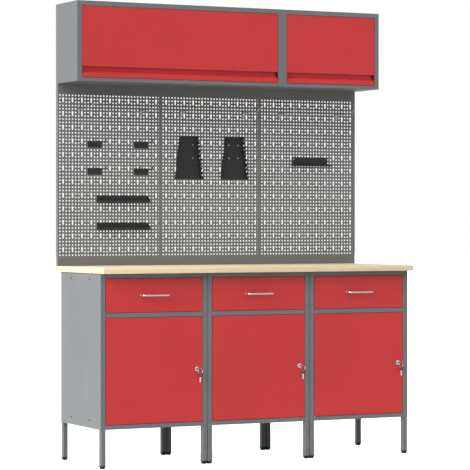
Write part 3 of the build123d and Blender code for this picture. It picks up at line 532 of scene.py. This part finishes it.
# ------------------------------------------------------------------ shapes
class Shape:
    """A bmesh with the few operations that the pieces need."""

    def __init__(self) -> None:
        """Starts empty."""
        self.bm = bmesh.new()

    def lathe(self, profile: list[tuple[float, float]], place: Matrix, steps: int = 32) -> None:
        """Turns a profile a full turn about its own Z axis.

        Args:
            profile: (radius, height) pairs.
            place: matrix that puts the turned shape in its place.
            steps: sides of the turned shape.
        """
        verts = [self.bm.verts.new((radius, 0.0, height)) for radius, height in profile]
        edges = [self.bm.edges.new(pair) for pair in zip(verts, verts[1:])]
        before = set(self.bm.verts) - set(verts)
        bmesh.ops.spin(self.bm, geom=verts + edges, cent=(0, 0, 0), axis=(0, 0, 1), angle=math.tau,
                       steps=steps, use_merge=True, use_duplicate=False)
        turned = [vert for vert in self.bm.verts if vert not in before]
        bmesh.ops.remove_doubles(self.bm, verts=turned, dist=1e-6)
        turned = [vert for vert in self.bm.verts if vert not in before]
        faces = list({face for vert in turned for face in vert.link_faces})
        bmesh.ops.recalc_face_normals(self.bm, faces=faces)
        bmesh.ops.transform(self.bm, matrix=place, verts=turned)

    def bar(self, route: list[Vector], radius: float, bend: float, sides: int = 20) -> None:
        """Round bar along straight runs joined by arcs, closed at both ends.

        Args:
            route: corner points.
            radius: of the bar.
            bend: radius of the arcs, to the bar's middle.
            sides: of the bar's section.
        """
        heading = (route[1] - route[0]).normalized()
        turn = heading.to_track_quat("Z", "Y").to_matrix().to_4x4()
        ring = bmesh.ops.create_circle(self.bm, cap_ends=False, segments=sides, radius=radius,
                                       matrix=Matrix.Translation(route[0]) @ turn)["verts"]
        edges = edges_of(ring)
        walls = [edges]
        here = route[0]
        for corner, after in zip(route[1:-1], route[2:]):
            next_heading = (after - corner).normalized()
            angle = heading.angle(next_heading)
            axis = heading.cross(next_heading).normalized()
            reach = bend * math.tan(angle / 2)
            start = corner - heading * reach
            edges = self.advance(edges, start - here)
            centre = start + axis.cross(heading) * bend
            steps = max(3, round(math.degrees(angle) / 9))
            spun = bmesh.ops.spin(self.bm, geom=edges, cent=centre, axis=axis, angle=angle,
                                  steps=steps, use_merge=False, use_duplicate=False)
            edges = [item for item in spun["geom_last"] if isinstance(item, bmesh.types.BMEdge)]
            here = corner + next_heading * reach
            heading = next_heading
        edges = self.advance(edges, route[-1] - here)
        walls.append(edges)
        for rim in walls:
            bmesh.ops.edgeloop_fill(self.bm, edges=rim)
        self.face_outwards()

    def advance(self, edges: list, step: Vector) -> list:
        """Extrudes an open rim by a vector.

        Args:
            edges: the rim.
            step: the way and distance.

        Returns:
            The new rim.
        """
        grown = bmesh.ops.extrude_edge_only(self.bm, edges=edges)["geom"]
        moved = [item for item in grown if isinstance(item, bmesh.types.BMVert)]
        bmesh.ops.translate(self.bm, vec=step, verts=moved)
        return [item for item in grown if isinstance(item, bmesh.types.BMEdge)]

    def face_outwards(self) -> None:
        """Turns every face outwards."""
        bmesh.ops.recalc_face_normals(self.bm, faces=list(self.bm.faces))

    def put(self, place: Matrix) -> None:
        """Moves the whole shape to its place."""
        bmesh.ops.transform(self.bm, matrix=place, verts=list(self.bm.verts))

    def thicken(self, faces: list, height: float) -> None:
        """Gives a flat outline its thickness along Z.

        Args:
            faces: the outline's faces.
            height: the thickness, negative for downwards.
        """
        grown = bmesh.ops.extrude_face_region(self.bm, geom=faces, use_keep_orig=True)["geom"]
        moved = [item for item in grown if isinstance(item, bmesh.types.BMVert)]
        bmesh.ops.translate(self.bm, vec=(0, 0, height), verts=moved)

    def slab(self, low: Vector, high: Vector, soften: float = 0.0, segments: int = 3) -> list:
        """Box between two corners with softened edges.

        Args:
            low: lowest corner.
            high: highest corner.
            soften: radius of its edges.
            segments: of the rounding.

        Returns:
            The box's vertices before softening.
        """
        size = high - low
        place = Matrix.Translation((low + high) / 2) @ Matrix.Diagonal((*size, 1.0))
        verts = bmesh.ops.create_cube(self.bm, size=1.0, matrix=place)["verts"]
        if soften:
            edges = edges_of(verts)
            bmesh.ops.bevel(self.bm, geom=edges, offset=soften, offset_type="OFFSET", affect="EDGES",
                            segments=segments, profile=0.5, material=-1)
        return verts

    def sharp_edges(self, degrees: float) -> list:
        """Edges whose faces meet at more than an angle."""
        limit = math.radians(degrees)
        return [edge for edge in self.bm.edges
                if len(edge.link_faces) == 2 and edge.calc_face_angle(0.0) > limit]

    def soften(self, radius: float, segments: int = 2, degrees: float = 50.0) -> None:
        """Rounds every sharp edge.

        Args:
            radius: of the rounding.
            segments: of the rounding.
            degrees: angle from which an edge counts as sharp.
        """
        bmesh.ops.bevel(self.bm, geom=self.sharp_edges(degrees), offset=radius, offset_type="OFFSET",
                        affect="EDGES", segments=segments, profile=0.5, material=-1)

    def piece(self, name: str, material: bpy.types.Material, body: str, slot: str,
              replaces: tuple[str, ...] = ()) -> bpy.types.Object:
        """Turns the shape into a piece that rides on a body.

        Args:
            name: of the piece.
            material: its finish.
            body: the body it moves with.
            slot: the record's material slot; not used.
            replaces: CAD nodes that it stands for.

        Returns:
            The piece's object.
        """
        mesh = bpy.data.meshes.new(name)
        self.bm.to_mesh(mesh)
        self.bm.free()
        mesh.shade_smooth()
        mesh.set_sharp_from_angle(angle=math.radians(38))
        mesh.materials.append(material)
        piece = bpy.data.objects.new(name, mesh)
        bpy.context.scene.collection.objects.link(piece)
        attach(piece, body)
        if replaces:
            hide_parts(*replaces)
        LOG.info("piece %s on %s, %d faces", name, body, len(mesh.polygons))
        return piece


# ------------------------------------------------------------------ sub-assemblies
@dataclass
class DrawerHandle:
    """Bright bow handle with a collar at each foot."""

    side: Side
    pitch: float = 142.0 * MM
    radius: float = 5.0 * MM
    reach: float = 32.0 * MM
    bend: float = 12.0 * MM
    height: float = 840.5 * MM

    def build(self, finishes: Finishes) -> None:
        """Builds the bar and its collars.

        Args:
            finishes: the bench's materials.
        """
        x, half, z = self.side.value, self.pitch / 2, self.height
        tip = FRONT_Y - self.reach + self.radius
        shape = Shape()
        shape.bar([Vector((x - half, FRONT_Y, z)), Vector((x - half, tip, z)),
                   Vector((x + half, tip, z)), Vector((x + half, FRONT_Y, z))],
                  self.radius, self.bend, 24)
        collar = [(0.0051, 0.0), (0.0059, 0.0), (0.0059, 0.0008), (0.0056, 0.0013), (0.0051, 0.0015)]
        for foot in (x - half, x + half):
            place = Matrix.Translation((foot, FRONT_Y, z)) @ Matrix.Rotation(math.radians(90), 4, "X")
            shape.lathe(collar, place)
        word = self.side.word
        shape.piece(f"bow_handle_{word}", finishes["chrome"], f"drawer_{word}", "chrome",
                    (f"drawer_handle_{word}",))


@dataclass
class DoorLock:
    """Case of the cam lock: stepped bezel, threaded barrel and hexagon nut."""

    side: Side
    inset: float = 231.0 * MM
    height: float = 472.0 * MM
    nut_radius: float = 13.5 * MM
    nut_bore: float = 9.7 * MM
    nut_thick: float = 4.0 * MM

    def place(self, y: float = FRONT_Y) -> Matrix:
        """Matrix whose Z axis points out of the door at the lock."""
        spot = (self.side.value + self.inset, y, self.height)
        return Matrix.Translation(spot) @ Matrix.Rotation(math.radians(90), 4, "X")

    def build(self, finishes: Finishes) -> None:
        """Builds the barrel and its nut.

        Args:
            finishes: the bench's materials.
        """
        word = self.side.word
        barrel = Shape()
        bore, body, flange = 0.00705, 0.0095, 0.012
        profile = [(bore, -0.024), (body, -0.024)]
        for turn in range(12):
            z = -0.0225 + turn * 0.0016
            profile += [(body, z), (body - 0.0005, z + 0.0008)]
        profile += [(body, -0.0032), (body, 0.0), (flange, 0.0), (flange, 0.0014),
                    (flange - 0.0012, 0.0026), (flange - 0.0024, 0.003), (bore + 0.0012, 0.003),
                    (bore, 0.0024), (bore, -0.024)]
        barrel.lathe(profile, self.place(), 48)
        nut = self.hexagon(barrel)
        bmesh.ops.transform(barrel.bm, matrix=self.place(FRONT_Y + 0.001), verts=nut)
        barrel.piece(f"lock_barrel_{word}", finishes["chrome"], f"door_{word}", "chrome",
                     (f"lock_case_{word}",))

    def hexagon(self, shape: Shape) -> list:
        """Adds the nut with its face inwards.

        Args:
            shape: the shape to add to.

        Returns:
            The nut's vertices.
        """
        before = set(shape.bm.verts)
        outer = bmesh.ops.create_circle(shape.bm, cap_ends=False, segments=6,
                                        radius=self.nut_radius)["verts"]
        inner = bmesh.ops.create_circle(shape.bm, cap_ends=False, segments=24,
                                        radius=self.nut_bore)["verts"]
        rims = edges_of(outer + inner)
        faces = bmesh.ops.bridge_loops(shape.bm, edges=rims)["faces"]
        shape.thicken(faces, -self.nut_thick)
        verts = [vert for vert in shape.bm.verts if vert not in before]
        faces = list({face for vert in verts for face in vert.link_faces})
        bmesh.ops.recalc_face_normals(shape.bm, faces=faces)
        return verts


@dataclass
class LockKeys:
    """The key in the lock, the split ring through its bow, and the spare key on the ring."""

    side: Side
    inset: float = 231.0 * MM
    height: float = 472.0 * MM
    stand_off: float = 23.0 * MM
    ring_shift: tuple[float, float] = (7.07 * MM, -8.43 * MM)
    ring_radius: float = 12.0 * MM
    wire_radius: float = 0.8 * MM
    bow_half: tuple[float, float] = (9.0 * MM, 10.5 * MM)
    bow_hole: float = 5.0 * MM
    bow_thick: float = 2.4 * MM
    blade_size: tuple[float, float, float] = (26.8 * MM, 7.4 * MM, 1.8 * MM)
    cuts: tuple[float, ...] = (0.0, 0.0, 0.3, 1.2, 0.6, 1.7, 0.9, 1.4, 0.4, 1.1, 0.7, 1.6, 2.6)

    def build(self, finishes: Finishes) -> None:
        """Builds both keys and the ring.

        Args:
            finishes: the bench's materials.
        """
        word = self.side.word
        x, hole_y, z = self.side.value + self.inset, FRONT_Y - self.stand_off, self.height
        standing = Matrix.Translation((x, hole_y + 0.002, z))
        self.bow(standing).piece(f"key_bow_{word}", finishes["black_plastic"], f"lock_{word}",
                                 "black_plastic", (f"lock_key_{word}",))
        self.blade(standing).piece(f"key_blade_{word}", finishes["key_steel"], f"lock_{word}", "chrome")
        ring = Vector((x + self.ring_shift[0], hole_y, z + self.ring_shift[1]))
        hang = ring - Vector((0, 0, self.ring_radius + 0.0054))
        turn = math.radians(45)
        across = Vector((math.cos(turn), -math.sin(turn), 0))
        along = Vector((0, 0, -1))
        frame_3 = Matrix((across, along, across.cross(along))).transposed()
        hanging = Matrix.Translation(hang) @ frame_3.to_4x4()
        self.bow(hanging).piece(f"spare_bow_{word}", finishes["black_plastic"], f"spare_key_{word}",
                                "black_plastic", (f"spare_key_{word}",))
        self.blade(hanging).piece(f"spare_blade_{word}", finishes["key_steel"], f"spare_key_{word}",
                                  "chrome")
        self.ring(ring).piece(f"split_ring_{word}", finishes["chrome"], f"spare_key_{word}", "chrome")

    def bow(self, place: Matrix) -> Shape:
        """Moulded bow with its ring hole.

        Args:
            place: the key's own frame, X across and Y along the blade.

        Returns:
            The shape.
        """
        shape = Shape()
        outer = bmesh.ops.create_circle(shape.bm, cap_ends=False, segments=36, radius=1.0)["verts"]
        for vert in outer:
            for axis, reach in enumerate(self.bow_half):
                value = vert.co[axis]
                vert.co[axis] = math.copysign(abs(value) ** 0.62, value) * reach
            vert.co.y += 0.0025
        inner = bmesh.ops.create_circle(shape.bm, cap_ends=False, segments=36, radius=self.bow_hole,
                                        matrix=Matrix.Translation((0, -0.002, 0)))["verts"]
        rims = edges_of(outer + inner)
        faces = bmesh.ops.bridge_loops(shape.bm, edges=rims)["faces"]
        shape.thicken(faces, self.bow_thick)
        bmesh.ops.translate(shape.bm, vec=(0, 0, -self.bow_thick / 2), verts=list(shape.bm.verts))
        shape.face_outwards()
        shape.soften(0.0004, 2, 60)
        shape.put(place)
        return shape

    def blade(self, place: Matrix) -> Shape:
        """Steel blade with its cuts along one edge.

        Args:
            place: the key's own frame.

        Returns:
            The shape.
        """
        shape = Shape()
        length, width, thick = self.blade_size
        spot = Matrix.Translation((0, 0.013 + length / 2, -thick / 2))
        made = bmesh.ops.create_grid(shape.bm, x_segments=1, y_segments=len(self.cuts) - 1, size=0.5,
                                     matrix=spot @ Matrix.Diagonal((width, length, 1, 1)))
        right = sorted((vert for vert in made["verts"] if vert.co.x > 0), key=lambda vert: vert.co.y)
        for vert, cut in zip(right, self.cuts):
            vert.co.x -= cut * MM
        shape.thicken(list(shape.bm.faces), thick)
        shape.face_outwards()
        shape.soften(0.0002, 1, 60)
        shape.put(place)
        return shape

    def ring(self, centre: Vector) -> Shape:
        """Split ring of flat-coiled wire.

        Args:
            centre: of the ring, whose axis is Y.

        Returns:
            The shape.
        """
        shape = Shape()
        upright = Matrix.Translation(centre) @ Matrix.Rotation(math.radians(90), 4, "X")
        radius, wire = self.ring_radius, self.wire_radius
        profile = []
        for step in range(17):
            angle = math.tau * step / 16
            pinch = 0.8 if step in (0, 8, 16) else 1.0
            profile.append((radius + wire * 0.95 * math.cos(angle) * pinch, wire * 0.95 * math.sin(angle)))
        shape.lathe(profile, upright, 64)
        return shape


@dataclass
class LevellingFeet:
    """Moulded black feet, tapered below their collars."""

    half: float = 13.0 * MM
    top: float = 15.0 * MM

    def build(self, finishes: Finishes) -> None:
        """Builds all twelve feet as one piece.

        Args:
            finishes: the bench's materials.
        """
        shape = Shape()
        for side in Side:
            for sign in (-1, 1):
                x = side.value + sign * 274.0 * MM
                for y in (FRONT_Y + TUBE / 2, 242.5 * MM - TUBE / 2):
                    self.foot(shape, x, y)
        shape.piece("levelling_feet", finishes["black_plastic"], "bench", "black_plastic", ("feet",))

    def foot(self, shape: Shape, x: float, y: float) -> None:
        """Adds one foot.

        Args:
            shape: the shape to add to.
            x: of its middle.
            y: of its middle.
        """
        half = self.half
        collar = 4.0 * MM
        low = self.top - collar
        shape.slab(Vector((x - half, y - half, low)), Vector((x + half, y + half, self.top)), 0.0009, 2)
        width, taper = 23.0 * MM, 0.8
        place = Matrix.Translation((x, y, low / 2)) @ Matrix.Diagonal((width, width, low, 1.0))
        block = bmesh.ops.create_cube(shape.bm, size=1.0, matrix=place)["verts"]
        for vert in block:
            if vert.co.z < MM:
                vert.co.x = x + (vert.co.x - x) * taper
                vert.co.y = y + (vert.co.y - y) * taper
        edges = edges_of(block)
        bmesh.ops.bevel(shape.bm, geom=edges, offset=0.0014, offset_type="OFFSET", affect="EDGES",
                        segments=3, profile=0.5, material=-1)


@dataclass
class GrooveShadeCaps:
    """Black caps that close the two ends of a flap's finger groove, as painted shade: they stand for the
    shaded, dark ends of the groove.
    """

    flap: Flap
    low: float = 1920.0 * MM
    thick: float = 1.6 * MM

    def build(self, finishes: Finishes) -> None:
        """Builds both caps.

        Args:
            finishes: the bench's materials.
        """
        shape = Shape()
        y0, deep = WALL_CABINET_Y, 0.0198
        outline = [(y0 + 0.0004, self.low + 0.0547), (y0 + deep, self.low + 0.0547),
                   (y0 + deep, self.low + 0.0363), (y0 + 0.0004, self.low + 0.0177)]
        for end, sign in zip(self.flap.value, (1, -1)):
            corners = [shape.bm.verts.new((end + sign * 0.0001, y, z)) for y, z in outline]
            face = shape.bm.faces.new(corners)
            grown = bmesh.ops.extrude_face_region(shape.bm, geom=[face], use_keep_orig=True)["geom"]
            moved = [item for item in grown if isinstance(item, bmesh.types.BMVert)]
            bmesh.ops.translate(shape.bm, vec=(sign * self.thick, 0, 0), verts=moved)
        shape.face_outwards()
        shape.soften(0.0004, 2, 60)
        # the caps' black is painted shade at the groove's ends
        word = self.flap.word
        shape.piece(f"groove_shade_caps_{word}", finishes["black_plastic"], f"flap_{word}", "black_plastic")


@dataclass
class Worktop:
    """Beech board with rounded edges."""

    length: float = 1740.0 * MM
    front: float = -312.5 * MM
    back: float = 287.5 * MM
    under: float = 948.0 * MM
    top: float = 976.0 * MM

    def build(self, finishes: Finishes) -> None:
        """Builds the board.

        Args:
            finishes: the bench's materials.
        """
        shape = Shape()
        half = self.length / 2
        shape.slab(Vector((-half, self.front, self.under)), Vector((half, self.back, self.top)), 0.0018, 4)
        shape.piece("beech_board", finishes["beech"], "bench", "beech", ("worktop",))


@dataclass
class PerforatedPanel:
    """Perforated sheet with its whole grid of round holes and keyholes, edges folded back."""

    side: Side
    pitch: float = 17.25 * MM
    columns: int = 33
    rows: int = 48
    hole: float = 4.3 * MM
    head: float = 6.2 * MM
    slot: float = 3.6 * MM
    half: float = 287.25 * MM
    face: float = 287.5 * MM
    wall: float = 312.5 * MM
    low: float = 948.0 * MM
    high: float = 1900.0 * MM
    top_row: float = 1841.5 * MM
    sheet: float = 1.2 * MM

    def cell(self, shape: Shape, column: int, row: int, keyed: bool) -> None:
        """Adds one square of sheet round a hole, or two squares round a keyhole.

        Args:
            shape: the shape to add to.
            column: counted from the left of the tile.
            row: counted down from the top of the tile.
            keyed: whether the hole is a keyhole.
        """
        half = self.pitch / 2
        tall = 1 if keyed else 0
        centre = Vector((column * self.pitch, -(row + tall / 2) * self.pitch, 0))
        stretch = Matrix.Diagonal((half, half * (1 + tall), 1, 1))
        frame_4 = Matrix.Translation(centre) @ stretch @ Matrix.Rotation(math.radians(45), 4, "Z")
        before = set(shape.bm.edges)
        bmesh.ops.create_circle(shape.bm, cap_ends=False, segments=4, radius=math.sqrt(2), matrix=frame_4)
        if keyed:
            upright = [edge for edge in shape.bm.edges if edge not in before
                       and abs(edge.verts[0].co.x - edge.verts[1].co.x) < half]
            bmesh.ops.subdivide_edges(shape.bm, edges=upright, cuts=1)
        outer_edges = [edge for edge in shape.bm.edges if edge not in before]
        spot = Matrix.Translation((centre.x, -row * self.pitch, 0))
        spot @= Matrix.Rotation(math.radians(15), 4, "Z")
        radius = self.head if keyed else self.hole
        inner = bmesh.ops.create_circle(shape.bm, cap_ends=False, segments=12, radius=radius,
                                        matrix=spot)["verts"]
        if keyed:
            self.stretch_slot(inner, centre.x, -row * self.pitch)
        inner_edges = edges_of(inner)
        bmesh.ops.bridge_loops(shape.bm, edges=outer_edges + inner_edges)

    def stretch_slot(self, ring: list, x: float, top: float) -> None:
        """Draws the lower corners of a round outline down into a keyhole's slot.

        Args:
            ring: the outline's vertices.
            x: of its middle.
            top: height of its middle.
        """
        low = sorted(ring, key=lambda vert: vert.co.y)[:4]
        low.sort(key=lambda vert: vert.co.x)
        drop = top - self.pitch
        slot = self.slot
        spots = ((-slot, 0.0), (-slot * 0.5, -slot * 0.87), (slot * 0.5, -slot * 0.87), (slot, 0.0))
        for vert, (dx, dy) in zip(low, spots):
            vert.co.x, vert.co.y = x + dx, drop + dy
        shoulders = sorted((vert for vert in ring if vert not in low), key=lambda vert: vert.co.y)[:2]
        neck = math.sqrt(self.head ** 2 - self.slot ** 2)
        for vert in shoulders:
            vert.co.x = x + math.copysign(self.slot, vert.co.x - x)
            vert.co.y = top - neck

    def build(self, finishes: Finishes) -> None:
        """Builds the panel.

        Args:
            finishes: the bench's materials.
        """
        shape = Shape()
        bm = shape.bm
        for column in range(3):
            for row in range(4):
                if column == 1 and row == 2:
                    continue
                self.cell(shape, column, row, column == 1 and row == 1)
        tile = list(bm.verts) + list(bm.edges) + list(bm.faces)
        self.repeat(bm, tile, self.columns // 3, Vector((3 * self.pitch, 0, 0)))
        tile = list(bm.verts) + list(bm.edges) + list(bm.faces)
        self.repeat(bm, tile, self.rows // 4, Vector((0, -4 * self.pitch, 0)))
        bmesh.ops.remove_doubles(bm, verts=list(bm.verts), dist=1e-5)
        middle = self.side.value * PANEL_PITCH / BAY_PITCH
        left = middle - (self.columns - 1) / 2 * self.pitch
        place = Matrix.Translation((left, self.face, self.top_row))
        place @= Matrix.Rotation(math.radians(90), 4, "X")
        bmesh.ops.transform(bm, matrix=place, verts=list(bm.verts))
        self.borders(bm, middle)
        bmesh.ops.recalc_face_normals(bm, faces=list(bm.faces))
        front = sum(face.normal.y * face.calc_area() for face in bm.faces if abs(face.normal.y) > 0.9)
        if front > 0:
            bmesh.ops.reverse_faces(bm, faces=list(bm.faces))
        bmesh.ops.solidify(bm, geom=list(bm.faces), thickness=self.sheet)
        word = self.side.word
        shape.piece(f"peg_panel_{word}", finishes["panel_grey_paint"], "bench", "panel_grey_paint",
                    (f"perforated_panel_{word}",))

    def repeat(self, bm: bmesh.types.BMesh, tile: list, count: int, step: Vector) -> None:
        """Copies a tile in one direction.

        Args:
            bm: the mesh.
            tile: its geometry.
            count: tiles in all.
            step: from one to the next.
        """
        for index in range(1, count):
            copied = bmesh.ops.duplicate(bm, geom=tile)["geom"]
            moved = [item for item in copied if isinstance(item, bmesh.types.BMVert)]
            bmesh.ops.translate(bm, vec=step * index, verts=moved)

    def borders(self, bm: bmesh.types.BMesh, middle: float) -> None:
        """Adds the plain border and folds the edges back to the wall.

        Args:
            bm: the mesh.
            middle: X of the panel's middle.
        """
        xs = [vert.co.x for vert in bm.verts]
        zs = [vert.co.z for vert in bm.verts]
        box = (min(xs), max(xs), min(zs), max(zs))
        near = 1e-4
        rim = [edge for edge in bm.edges if edge.is_boundary and any(
            all(abs(vert.co[axis] - limit) < near for vert in edge.verts)
            for axis, limit in ((0, box[0]), (0, box[1]), (2, box[2]), (2, box[3])))]
        grown = bmesh.ops.extrude_edge_only(bm, edges=rim)["geom"]
        for vert in (item for item in grown if isinstance(item, bmesh.types.BMVert)):
            if abs(vert.co.x - box[0]) < near:
                vert.co.x = middle - self.half
            elif abs(vert.co.x - box[1]) < near:
                vert.co.x = middle + self.half
            if abs(vert.co.z - box[2]) < near:
                vert.co.z = self.low
            elif abs(vert.co.z - box[3]) < near:
                vert.co.z = self.high
        outside = [item for item in grown if isinstance(item, bmesh.types.BMEdge)]
        fold = bmesh.ops.extrude_edge_only(bm, edges=outside)["geom"]
        back = [item for item in fold if isinstance(item, bmesh.types.BMVert)]
        bmesh.ops.translate(bm, vec=(0, self.wall - self.face, 0), verts=back)


# ------------------------------------------------------------------ carried-over nodes
class Carried:
    """CAD nodes that stay, each with its finish."""

    def dress(self, finishes: Finishes) -> None:
        """Gives each node the finish of its slot in the record.

        Args:
            finishes: the bench's materials.
        """
        slots = {part["node"]: part["material_slot"] for part in frame["record"]["subparts"]}
        for node, shown in frame["nodes"].items():
            shown.data.materials.clear()
            shown.data.materials.append(finishes[slots[node]])
            LOG.info("node %s has %s, %d triangles", node, slots[node], len(shown.data.polygons))


# ------------------------------------------------------------------ studio
@dataclass
class Studio:
    """Pale floor, soft lights and the camera."""

    floor_size: float = 120.0
    floor_lift: float = 0.92
    ambient: float = 0.52
    softness: float = 45.0
    left_power: float = 5.3
    front_power: float = 0.75

    def floor(self) -> None:
        """Pale floor under the bench, lifted towards white where the camera sees it."""
        shape = Shape()
        bmesh.ops.create_grid(shape.bm, x_segments=4, y_segments=4, size=self.floor_size / 2)
        mesh = bpy.data.meshes.new("studio_floor")
        shape.bm.to_mesh(mesh)
        shape.bm.free()
        graph, shader, where, material = Finish("studio_floor", (0.46, 0.46, 0.46)).start()
        tone = graph.mix(graph.noise(where, 3.0, 2.0), (0.45, 0.45, 0.45), (0.47, 0.47, 0.47))
        graph.tree.links.new(tone, shader.inputs["Base Color"])
        shader.inputs["Roughness"].default_value = 0.7
        shader.inputs["Emission Color"].default_value = (1.0, 1.0, 1.0, 1.0)
        seen = graph.add("ShaderNodeLightPath").outputs["Is Camera Ray"]
        lift = graph.math("MULTIPLY", seen, self.floor_lift)
        graph.tree.links.new(lift, shader.inputs["Emission Strength"])
        mesh.materials.append(material)
        ground = bpy.data.objects.new("studio_floor", mesh)
        bpy.context.scene.collection.objects.link(ground)

    def world(self) -> None:
        """Even white surroundings, brighter to the camera than as light."""
        world = bpy.data.worlds.new("studio_world")
        world.use_nodes = True
        bpy.context.scene.world = world
        graph = Graph(world.node_tree)
        seen = graph.add("ShaderNodeBackground", Color=(1.0, 1.0, 1.0, 1.0), Strength=1.0)
        lit = graph.add("ShaderNodeBackground", Color=(1.0, 1.0, 1.0, 1.0), Strength=self.ambient)
        rays = graph.add("ShaderNodeLightPath")
        both = graph.add("ShaderNodeMixShader", Fac=rays.outputs["Is Camera Ray"])
        graph.tree.links.new(lit.outputs[0], both.inputs[1])
        graph.tree.links.new(seen.outputs[0], both.inputs[2])
        output = graph.add("ShaderNodeOutputWorld")
        graph.tree.links.new(both.outputs[0], output.inputs["Surface"])

    def lamp(self, name: str, towards: Vector, strength: float) -> None:
        """Adds one broad, distant soft light.

        Args:
            name: of the light.
            towards: direction from the bench to the light.
            strength: of the light.
        """
        light = bpy.data.lights.new(name, "SUN")
        light.angle = math.radians(self.softness)
        light.energy = strength
        lamp = bpy.data.objects.new(name, light)
        lamp.rotation_euler = (-towards).to_track_quat("-Z", "Y").to_euler()
        lamp.location = towards * 6.0
        bpy.context.scene.collection.objects.link(lamp)

    def lights(self) -> None:
        """Adds the two lights: a strong one from the left and a weak one in front."""
        self.lamp("left_light", Vector((-0.84, -0.14, 0.52)), self.left_power)
        self.lamp("front_light", Vector((-0.15, -0.75, 0.65)), self.front_power)

    def camera(self) -> None:
        """Long lens from the left of the bench, at standing height."""
        data = bpy.data.cameras.new("camera")
        data.sensor_width = 36.0
        data.lens = 176.34
        data.clip_end = 200.0
        camera = bpy.data.objects.new("camera", data)
        camera.location = (-5.2757, -10.5281, 1.2088)
        camera.rotation_euler = (math.radians(89.629), 0.0, math.radians(-26.597))
        bpy.context.scene.collection.objects.link(camera)
        bpy.context.scene.camera = camera

    def build(self) -> None:
        """Sets up everything round the bench."""
        bpy.context.scene.view_settings.view_transform = "Standard"
        self.floor()
        self.world()
        self.lights()
        self.camera()


def main() -> None:
    """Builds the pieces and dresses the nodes."""
    logging.basicConfig(level=logging.INFO, format="%(name)s: %(message)s")
    finishes = Finishes()
    Carried().dress(finishes)
    Worktop().build(finishes)
    LevellingFeet().build(finishes)
    for side in Side:
        PerforatedPanel(side).build(finishes)
        DrawerHandle(side).build(finishes)
        DoorLock(side).build(finishes)
        LockKeys(side).build(finishes)
    for flap in Flap:
        GrooveShadeCaps(flap).build(finishes)
    Studio().build()


if __name__ == "__main__":
    main()
